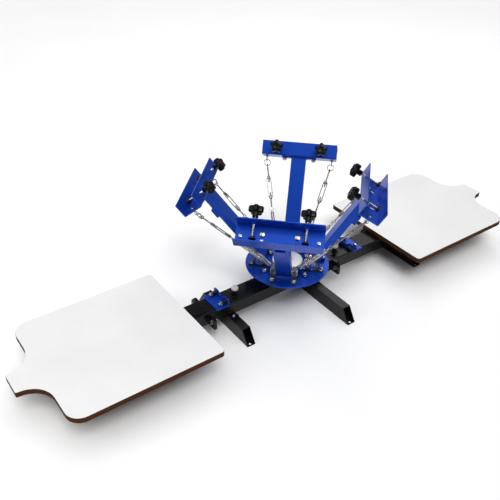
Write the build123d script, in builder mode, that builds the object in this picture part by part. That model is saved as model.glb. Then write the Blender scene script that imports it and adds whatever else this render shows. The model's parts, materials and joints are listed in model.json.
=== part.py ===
from build123d import *
import os
from math import cos, radians, sin

# Screen printing carousel: four print arms on a turning disc, between two printing boards.
# The origin is on the ground under the carousel's axis, +X runs along the beams, +Z is up.

# ---------------------------------------------------------------- driving dimensions (mm)
# boards
BOARD_LENGTH = 550          # along X, neck included
BOARD_WIDTH = 450
BOARD_THICKNESS = 18
BOARD_TOP = 119             # height of the printing surface
BOARD_INNER = 397           # inner edge, measured from the carousel's axis
SHOULDER = 470              # from the inner edge to the shoulder beside the neck
NECK_WIDTH = 82
SHOULDER_FILLET = 46
NECK_FILLET = 75

# beams, all of one rectangular tube
BEAM_WIDTH = 72
BEAM_HEIGHT = 45
BEAM_TOP = 98
WALL = 2.5
BEAM_END = 690              # outer end of both outer tubes, from the axis
JOINT_LEFT = -331           # planes between the bolted flange pairs
JOINT_RIGHT = 178
FLANGE_WIDTH = 136
FLANGE_THICKNESS = 5
FLANGE_BOLT_Y = 54
SUPPORT_BAR = (200, 40)     # bars across the beams that carry a board: length, width
SUPPORT_X = (450, 650)
TOP_PLATE = (56, 3)         # strip on the left outer tube: width, thickness
TOP_PLATE_Y = 4
BOARD_SCREW_Y = 80
BOARD_OVER_SCREWS = 3       # left above the screws' blind holes

# cross legs
LEG_WIDTH = 30
LEG_WALL = 2
LEG_PLATE = 3               # plate under the beam that a leg bolts to
LEG_PLATE_WIDTH = 108
LEG_BOLT_Y = 45
LEG_BOLT = 6                # diameter
LEGS = {"left": (-248, 144.5), "centre": (82, 246), "right": (499, 144.5)}  # x, half length
LEG_RAKE = 31               # how much shorter the leg's top is, at each end
FOOT_HOLE_INSET = 8
FOOT_HOLE_D = 9

# registration gates and height stops, both on the beam tops
GATE_INNER = 263            # face of the upright plate, from the axis
GATE_LENGTH = 44
GATE_WIDTH = 84
GATE_HEIGHT = 25
SHEET = 3                   # gates, heads and brackets are made of this plate
STUD_Y = 28                 # registration studs, either side of the arm's block
STUD_Z = 109.5
STUD_D = 15
STUD_LENGTH = 16
STOP_X = 213
STOP_TOP = 127
STOP_CAP_D = 24
STOP_CAP_HEIGHT = 10

# carousel
DISC_D = 280
DISC_THICKNESS = 5
DISC_TOP = 138
SPINDLE_D = 20
SPINDLE_NUT = 8             # height
BASE_PLATE = (200, 72, 5)
HUB_CAP_D = 102
HUB_CAP_HEIGHT = 13

# arms
ARM_AZIMUTH = {"back": 45, "left": 135, "front": 225, "right": 315}
ARM_RAISED = {"back": 56, "left": 50.5, "front": 56.8, "right": 60}   # degrees above level at rest
PIVOT_R = 88
PIVOT_Z = 162
ARM_WIDTH = 50
ARM_HEIGHT = 25
ARM_TAIL = 12               # the tube reaches this far behind its pivot
SHAFT_D = 15
SHAFT_LENGTH = 88
BLOCK_T = 35                # pillow blocks, either side of the arm
BLOCK_WIDTH = 14
BLOCK_LENGTH = 71
BLOCK_BOLT = 27

# print heads, measured from the pivot: along the arm and square to it
WEB = 290
HEAD_LENGTH = 254
HEAD_LOW = -47
HEAD_HIGH = 23
FLANGE_REACH = 48
HEAD_BOLT_T = 50
HEAD_BOLT_N = -4
SLOT = (32, 9)
SLOT_N = -15.5
KNOB_T = 75
KNOB_S = WEB + 24
KNOB_D = 46
CLAMP_D = 8
PAD_D = 22
PAD_LOW = -31               # underside of a pressure pad at rest

# springs and turnbuckles
ANCHOR_R = 76
ANCHOR_Z = 160
ANCHOR_TILT = 24
HOOK_SPREAD = 8
EYE_T = 112
EYE_N = -16
EYE_S = WEB - 14
SPRING_D = 13
SPRING_TOP = 183            # from the head's eye bolt down to the top of the coil
BUCKLE = (62, 76, 17)       # turnbuckle frame: distance from the eye bolt, length, width
WIRE = 2.2
RING_R = 11

CLEAR = 0.3                 # gap between pieces that move past each other
RUNNING = 0.05              # radial clearance of a turning fit

os.makedirs("parts", exist_ok=True)
BEAM_BOTTOM = BEAM_TOP - BEAM_HEIGHT
LEG_TOP = BEAM_BOTTOM - LEG_PLATE
BOARD_BOTTOM = BOARD_TOP - BOARD_THICKNESS
UP = Vector(0, 0, 1)


def save(piece, label):
    """Label a finished piece and write it."""
    piece.part.label = label
    export_step(piece.part, f"parts/{label}.step")


def inside(frame, plane):
    """A plane given in the frame's own coordinates."""
    return Plane(frame.location * plane.location)


def arm_frame(name):
    """Origin on the hinge: x along the arm, y along the hinge shaft, z square to the arm."""
    turn = radians(ARM_AZIMUTH[name])
    lift = radians(ARM_RAISED[name])
    out = Vector(cos(turn), sin(turn), 0)
    along = out * cos(lift) + UP * sin(lift)
    square = UP * cos(lift) - out * sin(lift)
    return Plane(origin=out * PIVOT_R + UP * PIVOT_Z, x_dir=along, z_dir=square)


def spoke_frame(azimuth):
    """Level frame on the carousel's axis at the ground, x pointing out at the azimuth."""
    turn = radians(azimuth)
    return Plane(origin=(0, 0, 0), x_dir=(cos(turn), sin(turn), 0), z_dir=UP)


def link_frame(name, side):
    """Frame of one spring and turnbuckle: x from the anchor's hole to the head's eye bolt."""
    spoke = spoke_frame(ARM_AZIMUTH[name])
    hook_out = (ANCHOR_R + HOOK_SPREAD) / 2 ** 0.5
    hook_side = (ANCHOR_R - HOOK_SPREAD) / 2 ** 0.5
    hook = spoke.from_local_coords(Vector(hook_out, side * hook_side, ANCHOR_Z))
    eye = arm_frame(name).from_local_coords(Vector(EYE_S, side * EYE_T, EYE_N))
    along = eye - hook
    level = UP.cross(along)
    return Plane(origin=hook, x_dir=along, z_dir=along.cross(level)), along.length


def bar(plane, radius, length, hole=0):
    """A round bar, or a ring if it has a hole, standing on the plane."""
    with BuildSketch(plane) as profile:
        Circle(radius)
        if hole:
            Circle(hole, mode=Mode.SUBTRACT)
    extrude(profile.sketch, amount=length)


def hexagon(plane, across, height, hole=0):
    """A hexagon head, or a nut if it has a hole, standing on the plane."""
    with BuildSketch(plane) as profile:
        RegularPolygon(across / 2, 6, major_radius=False)
        if hole:
            Circle(hole, mode=Mode.SUBTRACT)
    extrude(profile.sketch, amount=height)


def bolt(plane, size, grip, washer=True):
    """A hexagon bolt down through the plane, with a nut below the grip."""
    across = size * 1.6
    head = size * 0.65
    thread = size / 2
    lift = 1.6 if washer else 0
    hexagon(plane.offset(lift), across, head)
    bar(plane.offset(lift), thread, -(grip + lift + size * 1.1))
    if washer:
        bar(plane, size, lift - 0.02, hole=thread + 0.1)
    hexagon(plane.offset(-grip), across, -size * 0.8, hole=thread + 0.1)


def box_between(low, high, mode=Mode.ADD):
    """A block from its low corner to its high corner."""
    size = [b - a for a, b in zip(low, high)]
    middle = ((low[0] + high[0]) / 2, (low[1] + high[1]) / 2)
    with BuildSketch(Plane.XY.offset(low[2])) as profile:
        with Locations(middle):
            Rectangle(size[0], size[1])
    extrude(profile.sketch, amount=size[2], mode=mode)


# ---------------------------------------------------------------- beams and legs
def tube_along_x(start, end):
    """The beams' rectangular tube."""
    middle = BEAM_BOTTOM + BEAM_HEIGHT / 2
    with BuildSketch(Plane.YZ.offset(start)) as profile:
        with Locations((0, middle)):
            RectangleRounded(BEAM_WIDTH, BEAM_HEIGHT, 3)
            Rectangle(BEAM_WIDTH - 2 * WALL, BEAM_HEIGHT - 2 * WALL, mode=Mode.SUBTRACT)
    extrude(profile.sketch, amount=end - start)


def flange_at(start):
    """A bolted end flange, bevelled at its top corners."""
    half = FLANGE_WIDTH / 2
    with BuildSketch(Plane.YZ.offset(start)) as profile:
        with BuildLine():
            Polyline((-half, BEAM_BOTTOM), (half, BEAM_BOTTOM), (half, BEAM_TOP - 14),
                     (half - 12, BEAM_TOP), (12 - half, BEAM_TOP), (-half, BEAM_TOP - 14),
                     close=True)
        make_face()
        with Locations((-FLANGE_BOLT_Y, BEAM_TOP - 22), (FLANGE_BOLT_Y, BEAM_TOP - 22)):
            Circle(4.3, mode=Mode.SUBTRACT)
    extrude(profile.sketch, amount=FLANGE_THICKNESS)


def leg_plate_at(x):
    """The plate under a beam that a cross leg bolts to."""
    half = LEG_WIDTH / 2
    box_between((x - half, -LEG_PLATE_WIDTH / 2, LEG_TOP), (x + half, LEG_PLATE_WIDTH / 2, BEAM_BOTTOM))
    with BuildSketch(Plane.XY.offset(LEG_TOP)) as profile:
        with Locations((x, -LEG_BOLT_Y), (x, LEG_BOLT_Y)):
            Circle(LEG_BOLT / 2 + 0.3)
    extrude(profile.sketch, amount=LEG_PLATE, mode=Mode.SUBTRACT)


def board_supports(side):
    """Two bars across a beam, with the holes for the board's screws."""
    for x in SUPPORT_X:
        with BuildSketch(Plane.XY.offset(BEAM_TOP)) as profile:
            with Locations((side * x, 0)):
                Rectangle(SUPPORT_BAR[1], SUPPORT_BAR[0])
            with Locations((side * x, -BOARD_SCREW_Y), (side * x, BOARD_SCREW_Y)):
                Circle(3.3, mode=Mode.SUBTRACT)
        extrude(profile.sketch, amount=BOARD_BOTTOM - BEAM_TOP)


def hole_in_beam_top(x, y, radius, depth=WALL * 2):
    """A round hole down through the beam's top wall."""
    with BuildSketch(Plane.XY.offset(BEAM_TOP)) as profile:
        with Locations((x, y)):
            Circle(radius)
    extrude(profile.sketch, amount=-depth, mode=Mode.SUBTRACT)


BASE_BOLTS = [(x, y) for x in (-88, 88) for y in (-24, 24)]

with BuildPart() as main_beam:
    tube_along_x(JOINT_LEFT + FLANGE_THICKNESS, JOINT_RIGHT - FLANGE_THICKNESS)
    flange_at(JOINT_LEFT)
    flange_at(JOINT_RIGHT - FLANGE_THICKNESS)
    for leg in ("left", "centre"):
        leg_plate_at(LEGS[leg][0])
    hole_in_beam_top(0, 0, SPINDLE_D / 2 + 0.2, BEAM_HEIGHT)
    for x, y in BASE_BOLTS:
        hole_in_beam_top(x, y, 4.3)
    hole_in_beam_top(-STOP_X, 0, 5.5)
save(main_beam, "main_beam")

with BuildPart() as extension_beam:
    tube_along_x(JOINT_RIGHT + FLANGE_THICKNESS, BEAM_END)
    flange_at(JOINT_RIGHT)
    leg_plate_at(LEGS["right"][0])
    board_supports(1)
    hole_in_beam_top(STOP_X, 0, 5.5)
save(extension_beam, "extension_beam")

with BuildPart() as board_bracket:
    tube_along_x(-BEAM_END, JOINT_LEFT - FLANGE_THICKNESS)
    flange_at(JOINT_LEFT - FLANGE_THICKNESS)
    board_supports(-1)
    width, thickness = TOP_PLATE
    box_between((-SUPPORT_X[0], TOP_PLATE_Y - width / 2, BEAM_TOP),
                (JOINT_LEFT - 10, TOP_PLATE_Y + width / 2, BEAM_TOP + thickness))
save(board_bracket, "left_board_bracket")

with BuildPart() as beam_end_caps:
    for side in (-1, 1):
        middle = BEAM_BOTTOM + BEAM_HEIGHT / 2
        with BuildSketch(Plane.YZ.offset(side * BEAM_END)):
            with Locations((0, middle)):
                RectangleRounded(BEAM_WIDTH, BEAM_HEIGHT, 3)
        extrude(amount=side * 3)
        with BuildSketch(Plane.YZ.offset(side * BEAM_END)):
            with Locations((0, middle)):
                Rectangle(BEAM_WIDTH - 2 * WALL - 0.4, BEAM_HEIGHT - 2 * WALL - 0.4)
        extrude(amount=-side * 14)
save(beam_end_caps, "beam_end_caps")

for name, (x, reach) in LEGS.items():
    with BuildPart() as cross_leg:
        with BuildSketch(Plane.YZ.offset(x - LEG_WIDTH / 2)):
            with BuildLine():
                Polyline((-reach, 0), (reach, 0), (reach - LEG_RAKE, LEG_TOP),
                         (LEG_RAKE - reach, LEG_TOP), close=True)
            make_face()
        extrude(amount=LEG_WIDTH)
        box_between((x - LEG_WIDTH / 2 + LEG_WALL, -reach - 1, LEG_WALL),
                    (x + LEG_WIDTH / 2 - LEG_WALL, reach + 1, LEG_TOP - LEG_WALL), Mode.SUBTRACT)
        with BuildSketch(Plane.XY):
            with Locations((x, FOOT_HOLE_INSET - reach), (x, reach - FOOT_HOLE_INSET)):
                Circle(FOOT_HOLE_D / 2)
        extrude(amount=LEG_WALL, mode=Mode.SUBTRACT)
        with BuildSketch(Plane.XY.offset(LEG_TOP)):
            with Locations((x, -LEG_BOLT_Y), (x, LEG_BOLT_Y)):
                Circle(LEG_BOLT / 2 + 0.3)
        extrude(amount=-LEG_WALL, mode=Mode.SUBTRACT)
    save(cross_leg, f"{name}_cross_leg")

with BuildPart() as frame_bolts:
    for joint in (JOINT_LEFT, JOINT_RIGHT):
        for y in (-FLANGE_BOLT_Y, FLANGE_BOLT_Y):
            face = Plane(origin=(joint - FLANGE_THICKNESS, y, BEAM_TOP - 22), x_dir=(0, 1, 0),
                         z_dir=(-1, 0, 0))
            bolt(face, 8, 2 * FLANGE_THICKNESS)
    for x, reach in LEGS.values():
        for y in (-LEG_BOLT_Y, LEG_BOLT_Y):
            bolt(Plane((x, y, BEAM_BOTTOM)), LEG_BOLT, LEG_PLATE + LEG_WALL)
    for x, y in BASE_BOLTS:
        bolt(Plane((x, y, BEAM_TOP + BASE_PLATE[2])), 8, BASE_PLATE[2] + WALL)
    for x in (-STOP_X, STOP_X):
        hexagon(Plane((x, 0, BEAM_TOP)), 17, 8, hole=5 + CLEAR)
save(frame_bolts, "frame_bolts")


# ---------------------------------------------------------------- boards
def board_outline(side):
    """Outline of a board with rounded shoulders and a neck at its outer end."""
    half = BOARD_WIDTH / 2
    neck = NECK_WIDTH / 2
    inner = side * BOARD_INNER
    shoulder = side * (BOARD_INNER + SHOULDER)
    tip = side * (BOARD_INNER + BOARD_LENGTH)
    with BuildLine() as outline:
        Polyline((inner, -half), (shoulder, -half), (shoulder, -neck - 5), (tip, -neck),
                 (tip, neck), (shoulder, neck + 5), (shoulder, half), (inner, half), close=True)
    make_face(outline.edges())
    corners = vertices()
    fillet(corners.filter_by(lambda v: abs(v.X - inner) < 1), 12)
    fillet(corners.filter_by(lambda v: abs(v.X - shoulder) < 1 and abs(v.Y) > half - 1), SHOULDER_FILLET)
    fillet(corners.filter_by(lambda v: abs(v.X - shoulder) < 1 and abs(v.Y) < half - 1), NECK_FILLET)
    fillet(corners.filter_by(lambda v: abs(v.X - tip) < 1), 5)


for side, label in ((-1, "left_board"), (1, "right_board")):
    with BuildPart() as board:
        with BuildSketch(Plane.XY.offset(BOARD_BOTTOM)):
            board_outline(side)
        extrude(amount=BOARD_THICKNESS)
        with BuildSketch(Plane.XY.offset(BOARD_BOTTOM)):
            for x in SUPPORT_X:
                with Locations((side * x, -BOARD_SCREW_Y), (side * x, BOARD_SCREW_Y)):
                    Circle(3.1)
        extrude(amount=BOARD_THICKNESS - BOARD_OVER_SCREWS, mode=Mode.SUBTRACT)
    save(board, label)

with BuildPart() as board_screws:
    for side in (-1, 1):
        for x in SUPPORT_X:
            for y in (-BOARD_SCREW_Y, BOARD_SCREW_Y):
                under = Plane((side * x, y, BEAM_TOP))
                hexagon(under, 10, -4)
                bar(under, 3, 17)
save(board_screws, "board_screws")

# ---------------------------------------------------------------- gates and height stops
for side, label in ((-1, "left_gate"), (1, "right_gate")):
    with BuildPart() as gate:
        ends = sorted((side * GATE_INNER, side * (GATE_INNER + GATE_LENGTH)))
        box_between((ends[0], -GATE_WIDTH / 2, BEAM_TOP), (ends[1], GATE_WIDTH / 2, BEAM_TOP + SHEET))
        with BuildSketch(Plane.YZ.offset(side * GATE_INNER)):
            with Locations((0, BEAM_TOP + GATE_HEIGHT / 2)):
                Rectangle(GATE_WIDTH, GATE_HEIGHT)
            fillet(vertices().group_by(Axis.Y)[-1], 9)
            with Locations((-STUD_Y, STUD_Z), (STUD_Y, STUD_Z)):
                Circle(4.3, mode=Mode.SUBTRACT)
            with Locations((0, BEAM_TOP + GATE_HEIGHT)):
                SlotOverall(34, 18, mode=Mode.SUBTRACT)
        extrude(amount=side * SHEET)
    save(gate, label)

with BuildPart() as gate_studs:
    for side in (-1, 1):
        for y in (-STUD_Y, STUD_Y):
            inner = Plane(origin=(side * GATE_INNER, y, STUD_Z), x_dir=(0, 1, 0), z_dir=(-side, 0, 0))
            hexagon(inner, 13, 5)
            bar(inner, 4, -(SHEET + STUD_LENGTH + 12))
            bar(inner.offset(-SHEET - 0.05), STUD_D / 2, -STUD_LENGTH, hole=4.1)
            hexagon(inner.offset(-SHEET - STUD_LENGTH - 0.1), 13, -6.5, hole=4.1)
save(gate_studs, "gate_studs")

for side, label in ((-1, "left_height_stop"), (1, "right_height_stop")):
    with BuildPart() as height_stop:
        skirt = Plane((side * STOP_X, 0, STOP_TOP - STOP_CAP_HEIGHT))
        bar(skirt, STOP_CAP_D / 2, STOP_CAP_HEIGHT)
        fillet(edges().filter_by(GeomType.CIRCLE).sort_by(Axis.Z)[-1], 5)
        bar(skirt.offset(1), 5, -(1 + skirt.origin.Z - BEAM_TOP + 12))
    save(height_stop, label)

# ---------------------------------------------------------------- spindle and carousel
BEARING = BEAM_TOP + BASE_PLATE[2] + 4       # seat of the thrust bearing
HUB_LOW = BEARING + 10 + CLEAR
SPINDLE_TOP = DISC_TOP + HUB_CAP_HEIGHT + SPINDLE_NUT + 3

with BuildPart() as spindle:
    box_between((-BASE_PLATE[0] / 2, -BASE_PLATE[1] / 2, BEAM_TOP),
                (BASE_PLATE[0] / 2, BASE_PLATE[1] / 2, BEAM_TOP + BASE_PLATE[2]))
    with BuildSketch(Plane.XY.offset(BEAM_TOP)):
        with Locations(*BASE_BOLTS):
            Circle(4.3)
    extrude(amount=BASE_PLATE[2], mode=Mode.SUBTRACT)
    bar(Plane.XY.offset(BEAM_TOP), 30, BEARING - BEAM_TOP)
    bar(Plane.XY.offset(BEAM_BOTTOM - 14), SPINDLE_D / 2, SPINDLE_TOP + 14 - BEAM_BOTTOM)
save(spindle, "spindle")

with BuildPart() as spindle_bearing:
    bar(Plane.XY.offset(BEARING), 30, 10, hole=SPINDLE_D / 2 + 0.1)
    hexagon(Plane.XY.offset(BEAM_BOTTOM), 30, -9, hole=SPINDLE_D / 2 + 0.1)
    hexagon(Plane.XY.offset(DISC_TOP + HUB_CAP_HEIGHT + CLEAR), 30, SPINDLE_NUT, hole=SPINDLE_D / 2 + 0.1)
save(spindle_bearing, "spindle_bearing")


def block_spots():
    """Frames of the eight pillow blocks: origin on the shaft's axis, y along the shaft."""
    for azimuth in ARM_AZIMUTH.values():
        for side in (-1, 1):
            yield inside(spoke_frame(azimuth), Plane((PIVOT_R, side * BLOCK_T, PIVOT_Z)))


BLOCK_FOOT = DISC_TOP - PIVOT_Z              # the disc's top, measured from the shaft

with BuildPart() as carousel_disc:
    bar(Plane.XY.offset(DISC_TOP - DISC_THICKNESS), DISC_D / 2, DISC_THICKNESS,
        hole=SPINDLE_D / 2 + RUNNING)
    bar(Plane.XY.offset(HUB_LOW), 30, DISC_TOP - DISC_THICKNESS - HUB_LOW, hole=SPINDLE_D / 2 + RUNNING)
    fillet(edges().filter_by(GeomType.CIRCLE).filter_by(lambda e: e.radius > 100), 1.2)
    with BuildSketch(Plane.XY.offset(DISC_TOP)):
        for spot in block_spots():
            for end in (-BLOCK_BOLT, BLOCK_BOLT):
                place = spot.from_local_coords(Vector(end, 0, 0))
                with Locations((place.X, place.Y)):
                    Circle(4.3)
        with PolarLocations(ANCHOR_R + 18, 4):
            Circle(4.3)
    extrude(amount=-DISC_THICKNESS, mode=Mode.SUBTRACT)
save(carousel_disc, "carousel_disc")

with BuildPart() as hub_cap:
    bar(Plane.XY.offset(DISC_TOP), HUB_CAP_D / 2, HUB_CAP_HEIGHT, hole=SPINDLE_D / 2 + 0.5)
    chamfer(edges().filter_by(GeomType.CIRCLE).sort_by(SortBy.RADIUS)[-2:].sort_by(Axis.Z)[-1], 1.5)
save(hub_cap, "hub_cap")

with BuildPart() as pillow_blocks:
    for spot in block_spots():
        with BuildSketch(inside(spot, Plane.XZ.offset(-BLOCK_WIDTH / 2))):
            with Locations((0, BLOCK_FOOT + 4)):
                Rectangle(BLOCK_LENGTH, 8)
            fillet(vertices().group_by(Axis.Y)[-1], 3)
            with BuildLine():
                Polyline((-18.5, BLOCK_FOOT + 4), (18.5, BLOCK_FOOT + 4), (17, 6), (-17, 6), close=True)
            make_face()
            Circle(19)
            Circle(SHAFT_D / 2 + RUNNING, mode=Mode.SUBTRACT)
            with Locations((0, BLOCK_FOOT - 10)):
                Rectangle(BLOCK_LENGTH, 20, mode=Mode.SUBTRACT)
        extrude(amount=BLOCK_WIDTH)
        with BuildSketch(inside(spot, Plane.XY.offset(BLOCK_FOOT))):
            with Locations((-BLOCK_BOLT, 0), (BLOCK_BOLT, 0)):
                Circle(4.3)
        extrude(amount=9, mode=Mode.SUBTRACT)
save(pillow_blocks, "pillow_blocks")

with BuildPart() as hinge_shafts:
    for azimuth in ARM_AZIMUTH.values():
        start = Plane.XZ.offset(-SHAFT_LENGTH / 2)
        spoke = inside(spoke_frame(azimuth), Plane((PIVOT_R, 0, PIVOT_Z)))
        bar(inside(spoke, start), SHAFT_D / 2, SHAFT_LENGTH)
save(hinge_shafts, "hinge_shafts")

with BuildPart() as spring_anchors:
    for azimuth in (0, 90, 180, 270):
        spoke = inside(spoke_frame(azimuth), Plane((ANCHOR_R, 0, ANCHOR_Z)))
        tab = inside(spoke, Plane(origin=(0, 0, 0), z_dir=(-sin(radians(ANCHOR_TILT)), 0,
                                                           cos(radians(ANCHOR_TILT))),
                                  x_dir=(cos(radians(ANCHOR_TILT)), 0, sin(radians(ANCHOR_TILT)))))
        drop = DISC_TOP - ANCHOR_Z
        with BuildSketch(tab.offset(-SHEET / 2)):
            with Locations((-1.5, 0)):
                Rectangle(15, 30)
            with Locations((0, -HOOK_SPREAD), (0, HOOK_SPREAD)):
                Circle(4, mode=Mode.SUBTRACT)
        extrude(amount=SHEET)
        with BuildSketch(inside(spoke, Plane.XY.offset(drop))):
            with Locations((-5.5, 0)):
                Rectangle(SHEET, 18)
        extrude(amount=-drop - 2.8)
        with BuildSketch(inside(spoke, Plane.XY.offset(drop))):
            with Locations((10.5, 0)):
                Rectangle(35, 18)
            with Locations((18, 0)):
                Circle(4.3, mode=Mode.SUBTRACT)
        extrude(amount=SHEET)
save(spring_anchors, "spring_anchors")

with BuildPart() as carousel_bolts:
    for spot in block_spots():
        for end in (-BLOCK_BOLT, BLOCK_BOLT):
            bolt(inside(spot, Plane((end, 0, BLOCK_FOOT + 8))), 8, 8 + DISC_THICKNESS)
    for azimuth in (0, 90, 180, 270):
        spoke = spoke_frame(azimuth)
        bolt(inside(spoke, Plane((ANCHOR_R + 18, 0, DISC_TOP + SHEET))), 8, SHEET + DISC_THICKNESS)
save(carousel_bolts, "carousel_bolts")


# ---------------------------------------------------------------- arms and heads
def build_arm(name):
    """Rectangular tube with a hinge bush, a registration block and a cross plate."""
    frame = arm_frame(name)
    with BuildPart() as arm:
        with BuildSketch(inside(frame, Plane.YZ.offset(-ARM_TAIL))):
            Rectangle(ARM_WIDTH, ARM_HEIGHT)
            Rectangle(ARM_WIDTH - 4, ARM_HEIGHT - 4, mode=Mode.SUBTRACT)
        extrude(amount=WEB - 5 + ARM_TAIL)
        with BuildSketch(inside(frame, Plane.XZ.offset(-ARM_WIDTH / 2))):
            Circle(SHAFT_D / 2 + 4)
        extrude(amount=ARM_WIDTH)
        with BuildSketch(inside(frame, Plane.XZ.offset(-ARM_WIDTH / 2))):
            Circle(SHAFT_D / 2 + RUNNING)
        extrude(amount=ARM_WIDTH, mode=Mode.SUBTRACT)
        with BuildSketch(inside(frame, Plane.YZ.offset(WEB - 5))):
            with Locations((0, -2.5)):
                RectangleRounded(116, 30, 4)
            with Locations((-HEAD_BOLT_T, HEAD_BOLT_N), (HEAD_BOLT_T, HEAD_BOLT_N)):
                Circle(4.3, mode=Mode.SUBTRACT)
        extrude(amount=5)
        with BuildSketch(inside(frame, Plane.XY.offset(-ARM_HEIGHT / 2))):
            with Locations((210, 0)):
                RectangleRounded(34, 30, 2)
        extrude(amount=-15)
    return arm


def build_head(name):
    """Channel open to the outside, with slots, stud holes and bosses for the clamp studs."""
    frame = arm_frame(name)
    with BuildPart() as head:
        with BuildSketch(inside(frame, Plane.XZ.offset(-HEAD_LENGTH / 2))):
            with Locations((WEB + FLANGE_REACH / 2, (HEAD_LOW + HEAD_HIGH) / 2)):
                Rectangle(FLANGE_REACH, HEAD_HIGH - HEAD_LOW)
            fillet(vertices().group_by(Axis.X)[0], 4)
            with Locations((WEB + SHEET + FLANGE_REACH / 2, (HEAD_LOW + HEAD_HIGH) / 2)):
                Rectangle(FLANGE_REACH, HEAD_HIGH - HEAD_LOW - 2 * SHEET, mode=Mode.SUBTRACT)
        extrude(amount=HEAD_LENGTH)
        with BuildSketch(inside(frame, Plane.YZ.offset(WEB))):
            with Locations((-HEAD_BOLT_T, SLOT_N), (HEAD_BOLT_T, SLOT_N)):
                SlotOverall(*SLOT, rotation=90)
            with Locations((-EYE_T, EYE_N), (EYE_T, EYE_N)):
                Circle(3.3)
        extrude(amount=SHEET, mode=Mode.SUBTRACT)
        for side in (-1, 1):
            seat = inside(frame, Plane((KNOB_S, side * KNOB_T, HEAD_HIGH - SHEET)))
            hexagon(seat, 14, -7)
            with BuildSketch(seat.offset(SHEET)):
                Circle(CLAMP_D / 2 + CLEAR)
            extrude(amount=-12, mode=Mode.SUBTRACT)
    return head


def build_head_fasteners(name):
    """The two bolts that hang the head on the arm, and the two eye bolts for the links."""
    frame = arm_frame(name)
    with BuildPart() as fasteners:
        for side in (-1, 1):
            outer = inside(frame, Plane(origin=(WEB + SHEET, side * HEAD_BOLT_T, HEAD_BOLT_N),
                                        x_dir=(0, 1, 0), z_dir=(1, 0, 0)))
            bolt(outer, 8, SHEET + 5)
            eye_face = inside(frame, Plane(origin=(WEB + SHEET, side * EYE_T, EYE_N),
                                           x_dir=(0, 1, 0), z_dir=(1, 0, 0)))
            hexagon(eye_face, 10, 5, hole=3.1)
            bar(eye_face.offset(6), 3, -(SHEET + 6 + WEB - EYE_S - 5))
            with Locations(inside(frame, Plane(origin=(EYE_S, side * EYE_T, EYE_N),
                                               x_dir=(1, 0, 0), z_dir=(0, 1, 0)))):
                Torus(6, 1.5)
    return fasteners


def build_springs(name):
    """The two coil bodies with their lower hooks, up to where they start to stretch."""
    with BuildPart() as springs:
        for side in (-1, 1):
            link, length = link_frame(name, side)
            hook = inside(link, Plane(origin=(6.5, 0, 0), x_dir=(1, 0, 0), z_dir=(0, 1, 0)))
            with Locations(hook):
                Torus(6.5, WIRE / 2)
            start = inside(link, Plane.YZ.offset(13))
            bar(start, SPRING_D / 2, length - SPRING_TOP - CLEAR - 13)
    return springs



def build_turnbuckles(name):
    """Split ring, eye bolts, turnbuckle frame and spring hook of both links."""
    with BuildPart() as turnbuckles:
        for side in (-1, 1):
            link, length = link_frame(name, side)
            top = inside(link, Plane.XY.offset(0))
            flat = inside(top, Plane((length, 0, 0)))
            edge = inside(flat, Plane(origin=(0, 0, 0), x_dir=(1, 0, 0), z_dir=(0, 1, 0)))
            along = inside(flat, Plane(origin=(0, 0, 0), x_dir=(0, 1, 0), z_dir=(-1, 0, 0)))
            with Locations(inside(flat, Plane((-RING_R, 0, 0)))):
                Torus(RING_R, WIRE / 2)
            with Locations(inside(edge, Plane((-2 * RING_R, 0, 0)))):
                Torus(5, 1.5)
            bar(along.offset(2 * RING_R + 5), 2.5, BUCKLE[0] + 22 - 2 * RING_R - 5)
            with BuildSketch(flat.offset(-2.5)):
                with Locations((-BUCKLE[0] - BUCKLE[1] / 2, 0)):
                    SlotOverall(BUCKLE[1], BUCKLE[2])
                    SlotOverall(BUCKLE[1] - 18, BUCKLE[2] - 8, mode=Mode.SUBTRACT)
            extrude(amount=5)
            bar(along.offset(BUCKLE[0] + BUCKLE[1] - 22), 2.5, 22 + 160 - BUCKLE[0] - BUCKLE[1])
            with Locations(inside(edge, Plane((-165, 0, 0)))):
                Torus(5, 1.5)
            with Locations(inside(flat, Plane((-171, 0, 0)))):
                Torus(6, WIRE / 2)
            bar(along.offset(SPRING_TOP - 6), SPRING_D / 2, 6)
    return turnbuckles


def star():
    """Five-lobed outline of a clamp knob."""
    Circle(KNOB_D * 0.36)
    with PolarLocations(KNOB_D * 0.31, 5):
        Circle(KNOB_D * 0.19)


def build_knob(name, side):
    """Star knob with its threaded stud."""
    centre = inside(arm_frame(name), Plane((KNOB_S, side * KNOB_T, 0)))
    with BuildPart() as knob:
        with BuildSketch(centre.offset(HEAD_HIGH + 28)):
            star()
        extrude(amount=20)
        fillet(faces().sort_by(Axis(centre.origin, centre.z_dir))[-1].edges(), 2.5)
        bar(centre.offset(HEAD_HIGH + 14), 9, 14)
        bar(centre.offset(PAD_LOW + 3.1), CLAMP_D / 2, HEAD_HIGH + 14 - PAD_LOW - 3.1)
    return knob


def build_pad(name, side):
    """Swivel pressure pad, a cup round the stud's tip."""
    centre = inside(arm_frame(name), Plane((KNOB_S, side * KNOB_T, 0)))
    with BuildPart() as pad:
        bar(centre.offset(PAD_LOW), PAD_D / 2, 3)
        bar(centre.offset(PAD_LOW + 3), CLAMP_D / 2 + 2.5, 5, hole=CLAMP_D / 2 + RUNNING)
    return pad


for name in ARM_AZIMUTH:
    save(build_arm(name), f"{name}_arm")
    save(build_head(name), f"{name}_head")
    save(build_head_fasteners(name), f"{name}_head_fasteners")
    save(build_springs(name), f"{name}_springs")
    save(build_turnbuckles(name), f"{name}_turnbuckles")
    for side, hand in ((-1, "a"), (1, "b")):
        save(build_knob(name, side), f"{name}_knob_{hand}")
        save(build_pad(name, side), f"{name}_pad_{hand}")
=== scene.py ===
import json
import random
from math import atan2, ceil, cos, pi, radians, sin, tan

import bmesh
import bpy
from mathutils import Matrix, Vector


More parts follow.
